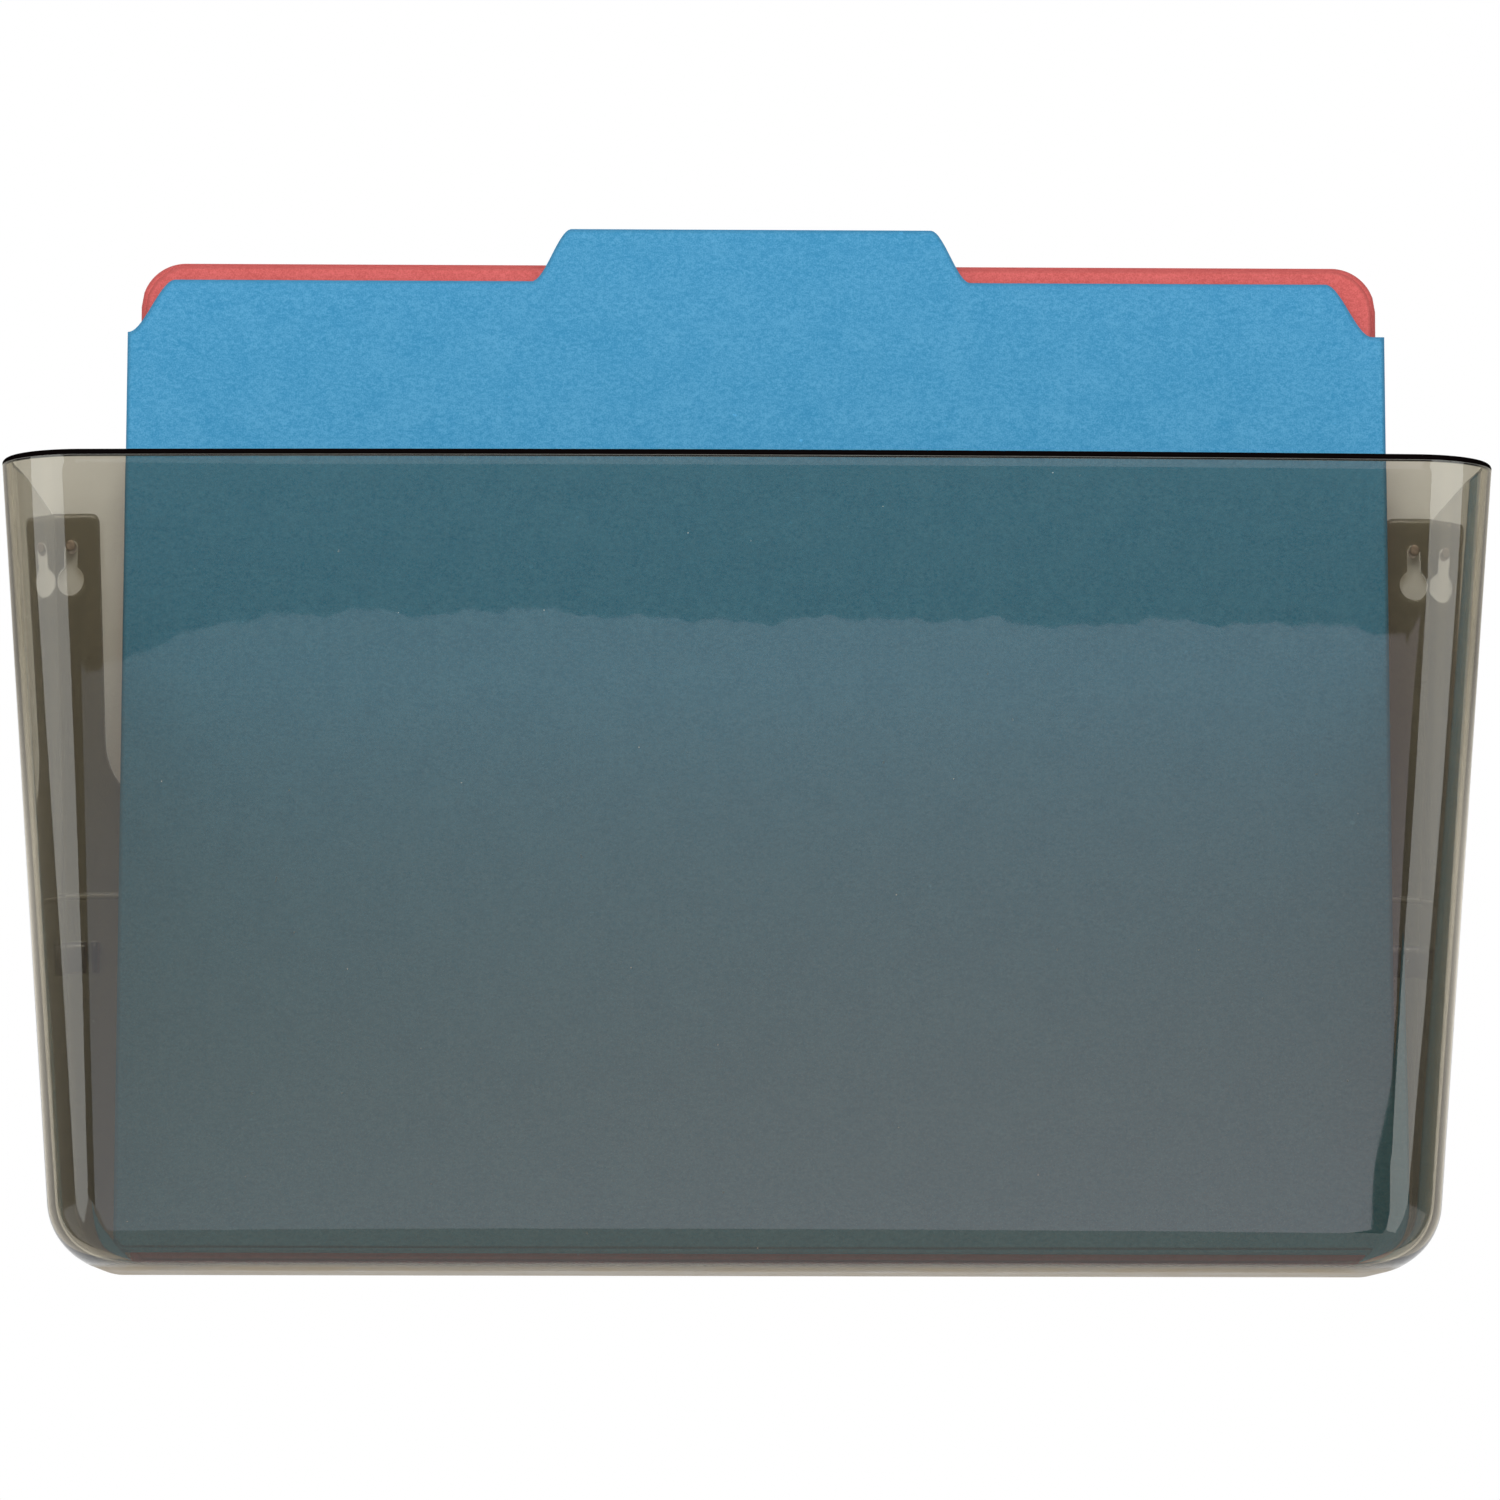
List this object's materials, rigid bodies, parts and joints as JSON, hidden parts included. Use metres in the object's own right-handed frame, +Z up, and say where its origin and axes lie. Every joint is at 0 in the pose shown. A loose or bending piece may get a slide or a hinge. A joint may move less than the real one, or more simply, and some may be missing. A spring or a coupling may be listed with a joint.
{
  "type": "hanging document pocket",
  "caption": "Smoke plastic wall pocket hung by keyholes on pins, open at the top and at the upper back, holding a tabbed card folder in front of a plain one.",
  "frame": {"origin": "on the wall plane, midway between the two hanging pins", "axes": "+Z up, +X to the right seen from the front, +Y into the wall, so the pocket's front faces -Y"},
  "size_m": [0.3334, 0.1258, 0.2481],
  "materials": {
    "smoke_plastic": "polished see-through smoke",
    "pin_steel": "dull dark",
    "blue_card": "uncoated card",
    "red_card": "uncoated card"
  },
  "bodies": {
    "wall_pins": {"hanging_pin_left": "pin_steel", "hanging_pin_right": "pin_steel"},
    "pocket": {"pocket_shell": "smoke_plastic"},
    "blue_folder": {"blue_folder_rear_leaf": "blue_card"},
    "blue_leaf": {"blue_folder_tab_leaf": "blue_card"},
    "red_folder": {"red_folder_rear_leaf": "red_card", "red_folder_front_leaf": "red_card"}
  },
  "joints": [
    {"name": "lift_off", "type": "slide", "parent": "wall_pins", "child": "pocket", "axis": [0, 0, 1], "range_m": [0, 0.008]},
    {"name": "blue_folder_lift", "type": "slide", "parent": "pocket", "child": "blue_folder", "axis": [0, 0, 1], "range_m": [0, 0.19]},
    {"name": "blue_leaf_open", "type": "hinge", "parent": "blue_folder", "child": "blue_leaf", "pos_m": [0.00315, -0.01439, -0.16502], "axis": [1, 0, 0], "range_deg": [0, 20]},
    {"name": "red_folder_lift", "type": "slide", "parent": "pocket", "child": "red_folder", "axis": [0, 0.0082, 1], "range_m": [0, 0.185]}
  ]
}
